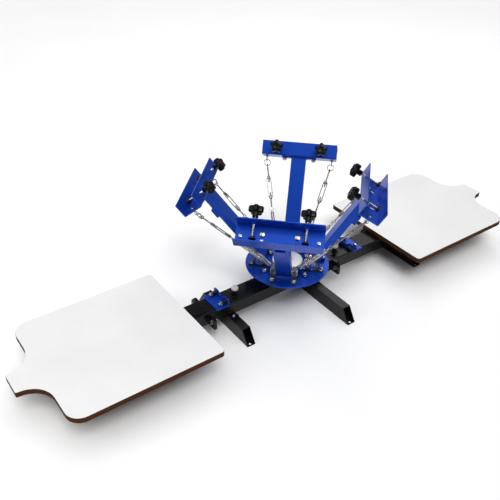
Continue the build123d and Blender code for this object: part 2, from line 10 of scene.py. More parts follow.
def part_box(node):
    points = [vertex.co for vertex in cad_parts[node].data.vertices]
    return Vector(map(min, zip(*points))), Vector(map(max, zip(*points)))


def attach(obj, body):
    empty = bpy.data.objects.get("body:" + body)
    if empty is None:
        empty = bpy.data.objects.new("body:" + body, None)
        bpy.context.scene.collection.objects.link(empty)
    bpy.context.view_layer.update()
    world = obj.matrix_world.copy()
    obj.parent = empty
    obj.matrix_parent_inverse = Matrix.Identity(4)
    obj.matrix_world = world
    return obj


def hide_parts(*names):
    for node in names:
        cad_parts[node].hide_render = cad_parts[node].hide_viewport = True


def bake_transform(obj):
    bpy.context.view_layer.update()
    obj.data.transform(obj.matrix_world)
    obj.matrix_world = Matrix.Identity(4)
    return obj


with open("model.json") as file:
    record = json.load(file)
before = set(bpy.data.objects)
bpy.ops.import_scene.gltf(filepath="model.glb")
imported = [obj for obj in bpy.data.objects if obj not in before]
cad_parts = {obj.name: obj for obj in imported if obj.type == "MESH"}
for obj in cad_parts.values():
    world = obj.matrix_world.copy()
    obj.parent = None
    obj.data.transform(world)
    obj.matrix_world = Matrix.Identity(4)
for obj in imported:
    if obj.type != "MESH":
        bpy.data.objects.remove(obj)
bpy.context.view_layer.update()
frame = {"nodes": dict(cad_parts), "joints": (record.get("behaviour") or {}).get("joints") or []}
JOINTS = {joint["name"]: joint for joint in frame["joints"]}
ARMS = ("back", "left", "front", "right")
MM = 0.001
random.seed(11)

# The CAD model's own sizes, in millimetres, where its boxes don't give them.
# boards
SHOULDER = 470              # inner edge to shoulder
NECK = 82                   # width
CORNER_R = 12               # radii of the inner corners, the shoulders and the neck's roots
SHOULDER_R = 46
NECK_R = 75
LAMINATE = 1.0

# beams and what stands on them
BEAM_TOP = 98
BEAM_HALF = 36              # half the width
BEAM_HEIGHT = 45
UNDER_BEAM = BEAM_TOP - BEAM_HEIGHT
FLANGE = 5                  # thickness of the flanges between the beams
FLANGE_BOLT = (54, BEAM_TOP - 22)   # y, z
LEG_BOLT_Y = 45
LEG_PLATE = 3
BASE_PLATE = 5
BASE_BOLT = (88, 24)        # x, y
BEARING_SEAT = BEAM_TOP + 9
STOP_X = 213
STOP_CAP = 10               # height
STUD = (28, 109.5)          # gates' studs: y, z

# carousel
DISC_TOP = 138
DISC_BOLT_R = 94
BLOCK = (35, 14)            # pillow blocks: place along the hinge, thickness
BLOCK_BOLT = 27
ANCHOR_OUT = 48.1           # hook holes of an arm's springs, to either side of the arm

# arms and heads, in the arm's frame: x along the arm, y along its hinge
ARM_WIDTH = 50
ARM_BLOCK = (193, 227, 14, -12.9)   # registration block: x from, x to, half width, z of its welds
WEB = 290                   # print head's web
HEAD_BOLT = (50, -4)        # y, z
EYE = (276, 112, -16)       # eye bolts
HEAD_HIGH = 23              # top of the print head
KNOB = (314, 75)            # x, y
KNOB_VALLEY = 15.6          # radius between the lobes
KNOB_LOBE = 7.2             # how far the lobes stand out
PAD_LOW = -31
SPRING_TOP = 183            # eye bolt down to the top of the coil
HOOK = 13                   # hook's hole to the start of the coil
COIL_SIDES = 14             # points in one turn of a spring

# threads
M6 = 6
M8 = 8


# ---------------------------------------------------------------- mesh building
class Shape:
    """Collects faces. Points are in millimetres in a frame given as a matrix in metres."""

    def __init__(self):
        self.bm = bmesh.new()

    def rings(self, loops, at, joined=False):
        """Skin over a row of closed loops that all have as many points."""
        made = [[self.bm.verts.new(at @ (Vector(p) * MM)) for p in loop] for loop in loops]
        pairs = list(zip(made, made[1:]))
        if joined:
            pairs.append((made[-1], made[0]))
        for low, high in pairs:
            count = len(low)
            for i in range(count):
                j = (i + 1) % count
                self.bm.faces.new((low[i], low[j], high[j], high[i]))
        if not joined:
            self.bm.faces.new(made[0][::-1])
            self.bm.faces.new(made[-1])

    def lathe(self, profile, at, sides=32, joined=False):
        """Turned shape: the profile's points are (radius, height)."""
        loops = [circle(radius, height, sides) for radius, height in profile]
        self.rings(loops, at, joined)

    def tube(self, points, radius, at=Matrix(), sides=10, closed=False):
        """Round tube along a path. The radius may be a function of the point's number."""
        path = [Vector(p) for p in points]
        count = len(path)
        side = None
        loops = []
        for i, p in enumerate(path):
            after = path[(i + 1) % count] if closed or i < count - 1 else p
            before = path[i - 1] if closed or i > 0 else p
            along = (after - before).normalized()
            if side is None:
                side = along.orthogonal().normalized()
            side = (side - along * side.dot(along)).normalized()
            other = along.cross(side)
            r = radius(i) if callable(radius) else radius
            loops.append([p + (side * cos(a) + other * sin(a)) * r for a in turns(sides)])
        self.rings(loops, at, joined=closed)

    def prism(self, outline, low, high, at):
        """Flat outline between two heights."""
        self.rings([[(x, y, low) for x, y in outline], [(x, y, high) for x, y in outline]], at)

    def make(self, name, body, material, slot, replaces=(), bevel=0.0, angle=35):
        """Turn the faces into a piece that rides on a body."""
        bmesh.ops.recalc_face_normals(self.bm, faces=self.bm.faces[:])
        mesh = bpy.data.meshes.new(name)
        self.bm.to_mesh(mesh)
        self.bm.free()
        mesh.shade_smooth()
        mesh.set_sharp_from_angle(angle=radians(angle))
        mesh.materials.append(material)
        piece = bpy.data.objects.new(name, mesh)
        bpy.context.scene.collection.objects.link(piece)
        if bevel:
            rounding = piece.modifiers.new("rounding", "BEVEL")
            rounding.width = bevel * MM
            rounding.segments = 2
            rounding.limit_method = "ANGLE"
            rounding.angle_limit = radians(30)
            rounding.harden_normals = True
        if body:
            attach(piece, body)
        if replaces:
            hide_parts(*replaces)
        return piece


def turns(count):
    """Angles of evenly spaced points round a circle."""
    return [2 * pi * i / count for i in range(count)]


def circle(radius, height, sides=32):
    return [(radius * cos(a), radius * sin(a), height) for a in turns(sides)]


def place(origin, x_axis=(1, 0, 0), z_axis=(0, 0, 1)):
    """Matrix of a frame: origin in metres and two of its axes."""
    z = Vector(z_axis).normalized()
    x = Vector(x_axis)
    x = (x - z * x.dot(z)).normalized()
    y = z.cross(x)
    rows = Matrix((x, y, z)).transposed().to_4x4()
    return Matrix.Translation(Vector(origin)) @ rows


def local(at, origin, x_axis=(1, 0, 0), z_axis=(0, 0, 1)):
    """A frame inside another: its origin is in millimetres."""
    return at @ place(Vector(origin) * MM, x_axis, z_axis)


def rounded(corners, steps=8):
    """Outline with round corners: each corner is (x, y, radius)."""
    outline = []
    count = len(corners)
    for i, (x, y, radius) in enumerate(corners):
        here = Vector((x, y))
        before = (Vector(corners[i - 1][:2]) - here).normalized()
        after = (Vector(corners[(i + 1) % count][:2]) - here).normalized()
        if radius <= 0:
            outline.append((x, y))
            continue
        half = before.angle(after) / 2
        middle = here + (before + after).normalized() * (radius / sin(half))
        start = here + before * (radius / tan(half)) - middle
        end = here + after * (radius / tan(half)) - middle
        first = atan2(start.y, start.x)
        sweep = (atan2(end.y, end.x) - first + pi) % (2 * pi) - pi
        for k in range(steps + 1):
            a = first + sweep * k / steps
            outline.append((middle.x + radius * cos(a), middle.y + radius * sin(a)))
    return outline


# ---------------------------------------------------------------- hardware
def hex_loops(across, height, chamfer_low=True):
    """Loops of a hexagon with the turned chamfers of a real nut or bolt head."""
    flat = across / 2
    sides = 36
    loops = []
    for level in ((0, True), (0, False), (height, False), (height, True)):
        z, on_face = level
        loop = []
        for a in turns(sides):
            corner = flat / cos((a % (pi / 3)) - pi / 6)
            drop = (corner - flat) * 0.6 + 0.15
            if on_face:
                loop.append((flat * 0.94 * cos(a), flat * 0.94 * sin(a), z))
            elif z == 0:
                low = drop if chamfer_low else 0
                loop.append((corner * cos(a), corner * sin(a), low))
            else:
                loop.append((corner * cos(a), corner * sin(a), height - drop))
        loops.append(loop)
    return loops


def nut(shape, at, across, height, bore):
    """Hexagon nut upwards from the frame, with a round bore of the given radius."""
    loops = hex_loops(across, height)
    inner = circle(bore, 0, 36)
    outer = circle(bore, height, 36)
    shape.rings([inner] + loops + [outer], at, joined=True)


def washer(shape, at, radius, bore, height=1.6):
    """Flat washer with softened edges."""
    edge = 0.3
    shape.lathe([(bore, 0), (radius - edge, 0), (radius, edge), (radius, height - edge),
                 (radius - edge, height), (bore, height)], at, 28, joined=True)


def screw(shape, at, radius, length, pitch=1.25, sides=14):
    """Threaded rod upwards from the frame."""
    depth = pitch * 0.45
    steps = max(4, ceil(length / pitch * 4))
    loops = []
    for i in range(steps + 1):
        z = length * i / steps
        end = min(1.0, (length - z) / pitch + 0.25, z / pitch + 0.25)
        loop = []
        for a in turns(sides):
            phase = (z / pitch - a / (2 * pi)) % 1
            r = radius - depth * abs(2 * phase - 1) * end - (1 - end) * depth
            loop.append((r * cos(a), r * sin(a), z))
        loops.append(loop)
    shape.rings(loops, at)


def hex_bolt(shape, at, size, grip):
    """Bolt head and washer above the frame's plane, thread and nut below the grip."""
    across, head = size * 1.6, size * 0.65
    washer(shape, at, size, size / 2 + 0.1)
    shape.rings(hex_loops(across, head, False), local(at, (0, 0, 1.6)))
    shape.lathe([(size * 0.47, -grip), (size * 0.47, 0.2)], at, 20)
    down = local(at, (0, 0, -grip), z_axis=(0, 0, -1))
    nut(shape, down, across, size * 0.8, size / 2)
    screw(shape, down, size / 2 - 0.02, size * 1.1)


def torus(shape, at, major, minor, sides=28, round_sides=10):
    """Ring in the frame's xy plane."""
    shape.tube(circle(major, 0, sides), minor, at, round_sides, closed=True)


def weld(shape, start, end, at, radius=1.7):
    """Rippled weld bead between two points."""
    a, b = Vector(start), Vector(end)
    length = (b - a).length
    count = max(6, int(length / 1.1))
    points = [a + (b - a) * i / count for i in range(count + 1)]

    def ripple(i):
        taper = min(1.0, (i + 0.6) / 3, (count - i + 0.6) / 3)
        return radius * taper * (1 + 0.16 * sin(i * 2.1) + random.uniform(-0.05, 0.05))

    shape.tube(points, ripple, at, 8)


# ---------------------------------------------------------------- materials
class Nodes:
    """Short notation for a material's node tree."""

    def __init__(self, name, **settings):
        self.material = bpy.data.materials.new(name)
        self.material.use_nodes = True
        self.tree = self.material.node_tree
        self.shader = self.tree.nodes["Principled BSDF"]
        self.coordinates = self.tree.nodes.new("ShaderNodeTexCoord").outputs["Object"]
        for key, value in settings.items():
            self.shader.inputs[key.replace("_", " ")].default_value = value

    def node(self, kind, **inputs):
        made = self.tree.nodes.new("ShaderNode" + kind)
        for key, value in inputs.items():
            self.join(value, made.inputs[key.replace("_", " ")])
        return made

    def join(self, value, socket):
        if isinstance(value, bpy.types.NodeSocket):
            self.tree.links.new(value, socket)
        else:
            socket.default_value = value

    def noise(self, scale, detail=4.0, stretch=(1, 1, 1), rough=0.55):
        mapping = self.node("Mapping", Vector=self.coordinates)
        mapping.inputs["Scale"].default_value = stretch
        made = self.node("TexNoise", Vector=mapping.outputs["Vector"], Scale=scale, Detail=detail)
        made.inputs["Roughness"].default_value = rough
        return made.outputs["Fac"]

    def ramp(self, value, stops):
        made = self.node("ValToRGB", Fac=value)
        ramp = made.color_ramp
        while len(ramp.elements) < len(stops):
            ramp.elements.new(0.5)
        for element, (position, colour) in zip(ramp.elements, stops):
            element.position = position
            element.color = (*colour, 1) if len(colour) == 3 else colour
        return made.outputs["Color"]

    def span(self, value, low, high, to_low, to_high):
        made = self.node("MapRange", Value=value)
        for key, number in (("From Min", low), ("From Max", high), ("To Min", to_low), ("To Max", to_high)):
            made.inputs[key].default_value = number
        return made.outputs["Result"]

    def mix(self, factor, first, second):
        made = self.tree.nodes.new("ShaderNodeMix")
        made.data_type = "RGBA"
        self.join(factor, made.inputs["Factor"])
        for value, socket in ((first, made.inputs["A"]), (second, made.inputs["B"])):
            self.join((*value, 1) if isinstance(value, tuple) else value, socket)
        return made.outputs["Result"]

    def math(self, operation, first, second=0.0):
        made = self.tree.nodes.new("ShaderNodeMath")
        made.operation = operation
        made.use_clamp = True
        self.join(first, made.inputs[0])
        self.join(second, made.inputs[1])
        return made.outputs[0]

    def edges(self, width):
        """1 along sharp edges and 0 on flat faces."""
        bevel = self.tree.nodes.new("ShaderNodeBevel")
        bevel.samples = 6
        bevel.inputs["Radius"].default_value = width * MM
        geometry = self.tree.nodes.new("ShaderNodeNewGeometry")
        dot = self.tree.nodes.new("ShaderNodeVectorMath")
        dot.operation = "DOT_PRODUCT"
        self.join(bevel.outputs["Normal"], dot.inputs[0])
        self.join(geometry.outputs["Normal"], dot.inputs[1])
        return self.span(dot.outputs["Value"], 0.97, 0.8, 0, 1)

    def bump(self, height, distance, strength=1.0, rounding=0.0):
        made = self.node("Bump", Height=height, Distance=distance * MM, Strength=strength)
        if rounding:
            bevel = self.tree.nodes.new("ShaderNodeBevel")
            bevel.samples = 4
            bevel.inputs["Radius"].default_value = rounding * MM
            self.join(bevel.outputs["Normal"], made.inputs["Normal"])
        self.join(made.outputs["Normal"], self.shader.inputs["Normal"])

    def finish(self, colour, roughness):
        self.join(colour, self.shader.inputs["Base Color"])
        self.join(roughness, self.shader.inputs["Roughness"])
        return self.material


def painted(name, base, deep, edge_wear_and_highlight_colour, peel, rough, shine):
    """Sprayed or powder-coated steel: uneven film, orange peel, and edges lightened as rubbed wear and
    painted highlight.
    """
    m = Nodes(name, Specular_IOR_Level=shine[0], Metallic=shine[1], Coat_Weight=shine[2], Coat_Roughness=0.1)
    colour = m.mix(m.span(m.noise(5, 2), 0.3, 0.7, 0, 1), deep, base)
    # lighter colour along the edges: partly rubbed wear, partly painted highlight
    edge_wear_and_highlight = m.math("MULTIPLY", m.edges(1.1), m.span(m.noise(160, 5), 0.5, 0.68, 0, 0.8))
    colour = m.mix(edge_wear_and_highlight, colour, edge_wear_and_highlight_colour)
    roughness = m.span(m.noise(60, 4), 0.3, 0.7, rough - 0.01, rough + 0.03)
    m.bump(m.noise(peel, 2), 0.05, 0.12, rounding=1.0)
    return m.finish(colour, roughness)


def metal(name, base, tint, rough):
    """Plated or bare steel: patchy plating, fine scratches, dull spots."""
    m = Nodes(name, Metallic=1.0, Specular_IOR_Level=0.5)
    patch = m.span(m.noise(70, 5), 0.35, 0.68, 0, 1)
    colour = m.mix(patch, base, tint)
    dull = m.span(m.noise(320, 4), 0.58, 0.72, 0, 0.4)
    colour = m.mix(dull, colour, tuple(v * 0.6 for v in base))
    roughness = m.span(m.noise(240, 6), 0.3, 0.7, rough - 0.08, rough + 0.14)
    m.bump(m.noise(900, 3), 0.05, 0.3, rounding=0.5)
    return m.finish(colour, roughness)


def moulded(name, base, edge_wear_and_highlight_colour, rough):
    """Moulded plastic: fine grain, and edges lightened as handling wear and painted sheen."""
    m = Nodes(name, Specular_IOR_Level=0.18)
    colour = m.mix(m.span(m.noise(45, 4), 0.35, 0.7, 0, 1), base, tuple(v * 0.75 for v in base))
    # lighter colour along the edges: partly handling wear, partly painted sheen
    edge_wear_and_highlight = m.math("MULTIPLY", m.edges(1.4), m.span(m.noise(200, 4), 0.45, 0.65, 0, 0.55))
    colour = m.mix(edge_wear_and_highlight, colour, edge_wear_and_highlight_colour)
    roughness = m.span(m.noise(30, 3), 0.3, 0.7, rough - 0.08, rough + 0.12)
    m.bump(m.noise(1500, 2), 0.06, 0.35)
    return m.finish(colour, roughness)


def laminate():
    """White melamine face with a faint mottle, scuffs and a fine pebble."""
    m = Nodes("white_laminate", Specular_IOR_Level=0.5, Coat_Weight=0.15, Coat_Roughness=0.25)
    colour = m.mix(m.span(m.noise(6, 4), 0.3, 0.7, 0, 1), (0.77, 0.77, 0.77), (0.82, 0.82, 0.815))
    scuff = m.span(m.noise(90, 6, (0.35, 2.2, 1)), 0.62, 0.7, 0, 0.10)
    colour = m.mix(scuff, colour, (0.55, 0.55, 0.54))
    dust = m.span(m.noise(700, 2), 0.70, 0.76, 0, 0.25)
    colour = m.mix(dust, colour, (0.45, 0.44, 0.42))
    roughness = m.span(m.noise(25, 5), 0.3, 0.7, 0.28, 0.44)
    m.bump(m.noise(1400, 2), 0.06, 0.3)
    return m.finish(colour, roughness)


def fibreboard():
    """Sawn edge of dark brown hardboard, in thin pressed layers."""
    m = Nodes("fibreboard_edge", Specular_IOR_Level=0.08)
    layers = m.noise(30, 6, (1, 1, 26), 0.7)
    colour = m.ramp(layers, [(0.3, (0.022, 0.008, 0.003)), (0.5, (0.060, 0.021, 0.007)),
                             (0.72, (0.115, 0.044, 0.016))])
    fibres = m.span(m.noise(500, 4, (1, 1, 3)), 0.6, 0.72, 0, 0.5)
    colour = m.mix(fibres, colour, (0.15, 0.065, 0.026))
    roughness = m.span(m.noise(120, 4), 0.3, 0.7, 0.6, 0.85)
    m.bump(m.noise(320, 5, (1, 1, 5)), 0.3, 0.6)
    return m.finish(colour, roughness)


# third colour of each paint: lighter edge colour, for rubbed wear and painted highlight
BLUE = painted("blue_paint", (0.008, 0.066, 0.47), (0.006, 0.052, 0.40), (0.12, 0.20, 0.55), 260,
               0.28, (0.12, 0.45, 0.10))
BLACK = painted("black_gloss_paint", (0.004, 0.004, 0.0045), (0.003, 0.003, 0.0035), (0.10, 0.10, 0.105),
                500, 0.27, (0.22, 0.0, 0.0))
ZINC = metal("zinc_plate", (0.62, 0.62, 0.62), (0.46, 0.465, 0.47), 0.20)
LINK_STEEL = metal("link_steel", (0.34, 0.34, 0.335), (0.22, 0.22, 0.22), 0.20)
SPRING_STEEL = metal("spring_steel", (0.66, 0.66, 0.655), (0.50, 0.50, 0.50), 0.16)
# zinc darkened to stand for the shade the pillow blocks sit in: painted shade, the alloy itself is
# silver-grey
SHADE_DARKENED_ZINC = metal("dark_zinc", (0.13, 0.13, 0.135), (0.07, 0.072, 0.076), 0.45)
BRIGHT = metal("bright_steel", (0.72, 0.72, 0.71), (0.55, 0.55, 0.55), 0.22)
SATIN_ALLOY = metal("satin_alloy", (0.90, 0.90, 0.89), (0.84, 0.84, 0.83), 0.55)
BROWN = metal("bronze_pad", (0.075, 0.045, 0.03), (0.05, 0.032, 0.022), 0.45)
BLACK_OXIDE = metal("black_oxide", (0.035, 0.035, 0.038), (0.016, 0.016, 0.018), 0.38)
# second colour of each plastic: lighter edge colour, for handling wear and painted sheen
KNOB_PLASTIC = moulded("black_plastic", (0.004, 0.004, 0.0042), (0.018, 0.018, 0.018), 0.26)
WHITE_PLASTIC = moulded("white_plastic", (0.66, 0.64, 0.60), (0.78, 0.77, 0.73), 0.42)
LAMINATE_FACE = laminate()
FIBREBOARD = fibreboard()

KEPT = {
    "main_beam": BLACK, "extension_beam": BLACK, "left_board_bracket": BLACK, "left_cross_leg": BLACK,
    "centre_cross_leg": BLACK, "right_cross_leg": BLACK, "spindle": BLACK_OXIDE,
    "beam_end_caps": KNOB_PLASTIC,
    "left_gate": BLUE, "right_gate": BLUE, "carousel_disc": BLUE, "spring_anchors": BLUE,
    "hinge_shafts": BRIGHT, "board_screws": ZINC,
}
for arm in ARMS:
    KEPT[f"{arm}_arm"] = BLUE
    KEPT[f"{arm}_head"] = BLUE
for node, material in KEPT.items():
    mesh = frame["nodes"][node].data
    mesh.materials.clear()
    mesh.materials.append(material)

ROW = Matrix()


# ---------------------------------------------------------------- boards
def board_outline(side, inset):
    """The board's outline, with rounded shoulders and a neck at its outer end."""
    low, high = (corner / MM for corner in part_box("left_board" if side < 0 else "right_board"))
    half = high.y - inset
    inner = (high.x if side < 0 else low.x) + side * inset
    tip = (low.x if side < 0 else high.x) - side * inset
    shoulder = inner + side * (SHOULDER - 2 * inset)
    neck = NECK / 2 - inset
    lower = [(inner, -half, CORNER_R), (shoulder, -half, SHOULDER_R), (shoulder, -neck - 5, NECK_R),
             (tip, -neck, 5)]
    return rounded(lower + [(x, -y, r) for x, y, r in reversed(lower)], 10)


for side, label in ((-1, "left_board"), (1, "right_board")):
    low, high = (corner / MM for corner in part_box(label))
    core = Shape()
    core.prism(board_outline(side, 0), low.z, high.z - LAMINATE, ROW)
    core.make(f"{label}_core", "frame", FIBREBOARD, "white_laminate", [label], bevel=0.4)
    face = Shape()
    face.prism(board_outline(side, 0.4), high.z - LAMINATE, high.z, ROW)
    face.make(f"{label}_face", "frame", LAMINATE_FACE, "white_laminate", bevel=0.5)


# ---------------------------------------------------------------- frame's hardware and welds
LEGS = [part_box(f"{name}_cross_leg") for name in ("left", "centre", "right")]
JOINT_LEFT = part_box("main_beam")[0].x / MM
JOINT_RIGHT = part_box("main_beam")[1].x / MM

hardware = Shape()
for joint in (JOINT_LEFT, JOINT_RIGHT):
    for y in (-FLANGE_BOLT[0], FLANGE_BOLT[0]):
        head = local(ROW, (joint - FLANGE, y, FLANGE_BOLT[1]), (0, 1, 0), (-1, 0, 0))
        hex_bolt(hardware, head, M8, 2 * FLANGE)
for low, high in LEGS:
    middle = (low.x + high.x) / 2 / MM
    for y in (-LEG_BOLT_Y, LEG_BOLT_Y):
        hex_bolt(hardware, local(ROW, (middle, y, UNDER_BEAM)), M6, LEG_PLATE + 2)
for x in (-BASE_BOLT[0], BASE_BOLT[0]):
    for y in (-BASE_BOLT[1], BASE_BOLT[1]):
        hex_bolt(hardware, local(ROW, (x, y, BEAM_TOP + BASE_PLATE)), M8, BASE_PLATE + 2.5)
hardware.make("frame_hex_bolts", "frame", ZINC, "zinc_plate", ["frame_bolts"])

jam_nuts = Shape()
for side in (-1, 1):
    washer(jam_nuts, local(ROW, (side * STOP_X, 0, BEAM_TOP)), 15, 5.3, 2)
    nut(jam_nuts, local(ROW, (side * STOP_X, 0, BEAM_TOP + 2)), 17, 5.8, 5.3)
jam_nuts.make("stop_jam_nuts", "frame", BLACK_OXIDE, "zinc_plate")

beads = Shape()
reach = BEAM_HALF - 2
for joint, out in ((JOINT_LEFT, 1), (JOINT_RIGHT, -1), (JOINT_RIGHT, 1), (JOINT_LEFT, -1)):
    x = joint + out * (FLANGE + 0.3)
    for y in (-BEAM_HALF, BEAM_HALF):
        weld(beads, (x, y, UNDER_BEAM + 2), (x, y, BEAM_TOP - 2), ROW)
    weld(beads, (x, -reach, BEAM_TOP - 0.6), (x, reach, BEAM_TOP - 0.6), ROW, 1.4)
for low, high in LEGS:
    for x in (low.x / MM, high.x / MM):
        weld(beads, (x, -reach, UNDER_BEAM), (x, reach, UNDER_BEAM), ROW, 1.2)
beads.make("frame_weld_beads", "frame", BLACK, "black_powder_coat")

# ---------------------------------------------------------------- gates' studs and height stops
studs = Shape()
sleeves = Shape()
ribs = [(4.2, 3.2), (6.9, 3.2), (7.5, 4.0)]
for z in (7, 13):
    ribs += [(7.5, z), (7.1, z + 0.6), (7.1, z + 1.6), (7.5, z + 2.2)]
ribs += [(7.5, 18.2), (6.9, 19), (4.2, 19)]
for side, label in ((-1, "left_gate"), (1, "right_gate")):
    low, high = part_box(label)
    inner = (high.x if side < 0 else low.x) / MM
    for y in (-STUD[0], STUD[0]):
        out = local(ROW, (inner, y, STUD[1]), (0, 1, 0), (side, 0, 0))
        back = local(out, (0, 0, 0), z_axis=(0, 0, -1))
        nut(studs, back, 13, 5, 4)
        screw(studs, local(out, (0, 0, -4.8)), 4, 35.7)
        nut(studs, local(out, (0, 0, 19.2)), 13, 6.3, 4)
        sleeves.lathe(ribs, out, 32, joined=True)
studs.make("gate_stud_screws", "frame", ZINC, "zinc_plate", ["gate_studs"])
sleeves.make("gate_stud_sleeves", "frame", KNOB_PLASTIC, "black_plastic")

for side, label in ((-1, "left"), (1, "right")):
    node = f"{label}_height_stop"
    low, high = (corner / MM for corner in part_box(node))
    middle = local(ROW, ((low.x + high.x) / 2, 0, 0))
    stud = Shape()
    screw(stud, local(middle, (0, 0, low.z)), 4.95, high.z - 6 - low.z, 1.5, 18)
    stud.make(f"{label}_stop_stud", f"{label}_stop", BLACK_OXIDE, "zinc_plate")
    cap = Shape()
    top, radius = high.z, (high.x - low.x) / 2
    rim = top - STOP_CAP
    profile = [(5.3, rim + 3), (5.3, rim), (radius - 1.2, rim), (radius - 0.4, rim + 0.5),
               (radius, rim + 1.5), (radius, top - 5)]
    for a in (18, 36, 54, 72, 90):
        profile.append((radius - 5 + 5 * cos(radians(a)), top - 5 + 5 * sin(radians(a))))
    profile += [(radius - 8, top - 0.1), (1, top - 0.1)]
    loops = []
    for r, z in profile:
        grip = 0.45 if r > radius - 1 and z < top - 4 else 0
        loop = []
        for a in turns(80):
            ribbed = r - grip * (0.5 + 0.5 * cos(20 * a))
            loop.append((ribbed * cos(a), ribbed * sin(a), z))
        loops.append(loop)
    cap.rings(loops, middle)
    cap.make(f"{label}_stop_cap", f"{label}_stop", WHITE_PLASTIC, "white_plastic", [node], angle=50)

# ---------------------------------------------------------------- spindle and disc hardware
bearing = Shape()
for low, high in ((0, 3.2), (6.8, 10)):
    bearing.lathe([(10.1, low), (29.4, low), (30, low + 0.6), (30, high - 0.6), (29.4, high), (10.1, high)],
                  local(ROW, (0, 0, BEARING_SEAT)), 64, joined=True)
for a in turns(22):
    ball = local(ROW, (23.5 * cos(a), 23.5 * sin(a), BEARING_SEAT + 5))
    bearing.lathe([(2.6 * cos(t), 2.6 * sin(t)) for t in (-1.5, -1, -0.5, 0, 0.5, 1, 1.5)], ball, 12)
nut(bearing, local(ROW, (0, 0, UNDER_BEAM), z_axis=(0, 0, -1)), 30, 9, 10)
cap_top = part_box("hub_cap")[1].z / MM
nut(bearing, local(ROW, (0, 0, cap_top + 0.3)), 30, 8, 10)
bearing.make("spindle_bearing_and_nuts", "frame", ZINC, "zinc_plate", ["spindle_bearing"])

low, high = (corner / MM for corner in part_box("hub_cap"))
hub = Shape()
hub.lathe([(10.5, low.z), (high.x, low.z), (high.x, high.z - 3), (high.x - 0.9, high.z - 0.9),
           (high.x - 3, high.z), (19, high.z), (18, high.z - 1.0), (10.5, high.z - 1.0)],
          ROW, 96, joined=True)
hub.make("hub_cap_turned", "carousel", SATIN_ALLOY, "zinc_plate", ["hub_cap"], angle=28)


def arm_place(arm):
    """The arm's frame from its joints: x along the arm, y along its hinge, z square to it."""
    hinge = JOINTS[f"{arm}_arm_lift"]
    square = Vector(JOINTS[f"{arm}_pad_a_slide"]["axis"])
    across = Vector(hinge["axis"])
    return place(hinge["pos_m"], across.cross(square), square)


def level_place(arm):
    """Level frame on the arm's hinge, x pointing away from the carousel's axis."""
    hinge = JOINTS[f"{arm}_arm_lift"]
    across = Vector(hinge["axis"])
    return place(hinge["pos_m"], across.cross(Vector((0, 0, 1))))


# outlines of a bearing insert's face and a grease nipple: radius, height
RACE = [(7.6, -1), (7.6, 0.9), (10, 0.9), (10.4, 0.2), (13.6, 0.2), (14, 0.8), (15.6, 0.8), (16, 0), (16, -1)]
NIPPLE = [(2.6, 0), (2.6, 2), (1.5, 2.6), (1.5, 4.4), (1.9, 4.9), (1.2, 5.8)]

housings = Shape()
races = Shape()
disc_bolts = Shape()
FOOT = DISC_TOP - JOINTS["back_arm_lift"]["pos_m"][2] / MM
foot_line = [(0, FOOT, 0), (35.5, FOOT, 0), (35.5, FOOT + 8, 3), (21, FOOT + 8, 4), (18.6, FOOT + 14, 6),
             (18, -6, 0)]
arch = [(19 * cos(radians(a)), 19 * sin(radians(a))) for a in range(-20, 201, 10)]
for arm in ARMS:
    level = level_place(arm)
    for side in (-1, 1):
        spot = local(level, (0, side * BLOCK[0], 0), (1, 0, 0), (0, -1, 0))
        right_half = rounded(foot_line, 5)[1:]
        left_half = [(-x, y) for x, y in reversed(right_half)]
        housings.prism(right_half + arch + left_half, -BLOCK[1] / 2, BLOCK[1] / 2, spot)
        for face in (-1, 1):
            end = local(spot, (0, 0, face * BLOCK[1] / 2), (1, 0, 0), (0, 0, face))
            races.lathe(RACE, end, 40)
        races.lathe(NIPPLE, local(spot, (0, 18, 0), (1, 0, 0), (0, 1, 0)), 12)
        for end in (-BLOCK_BOLT, BLOCK_BOLT):
            hex_bolt(disc_bolts, local(level, (end, side * BLOCK[0], FOOT + 8)), M8, 13)
# housings take the darkened zinc as painted shade; their insert faces keep the plain zinc
housings.make("pillow_block_housings", "carousel", SHADE_DARKENED_ZINC, "dark_zinc", ["pillow_blocks"], bevel=0.9)
races.make("pillow_block_inserts", "carousel", ZINC, "zinc_plate")
for a in turns(4):
    hex_bolt(disc_bolts, local(ROW, (DISC_BOLT_R * cos(a), DISC_BOLT_R * sin(a), DISC_TOP + 3)), M8, 8)
disc_bolts.make("carousel_hex_bolts", "carousel", ZINC, "zinc_plate", ["carousel_bolts"])


# ---------------------------------------------------------------- arms
def head_fasteners(arm, at):
    """Bolts that hold the print head, and its eye bolts with their nuts."""
    shape = Shape()
    for side in (-1, 1):
        outer = local(at, (WEB + 3, side * HEAD_BOLT[0], HEAD_BOLT[1]), (0, 1, 0), (1, 0, 0))
        hex_bolt(shape, outer, M8, 8)
        nut(shape, local(at, (WEB + 3, side * EYE[1], EYE[2]), (0, 1, 0), (1, 0, 0)), 10, 4.9, 3)
        screw(shape, local(at, (WEB - 8, side * EYE[1], EYE[2]), (0, 1, 0), (1, 0, 0)), 3, 17, 1)
        nut(shape, local(at, (WEB - 0.1, side * EYE[1], EYE[2]), (0, 1, 0), (-1, 0, 0)), 10, 4, 3)
        eye = local(at, (EYE[0], side * EYE[1], EYE[2]), (1, 0, 0), (0, 1, 0))
        torus(shape, eye, 6, 1.5)
    shape.make(f"{arm}_head_bolts_and_eyes", f"{arm}_arm", ZINC, "zinc_plate", [f"{arm}_head_fasteners"])


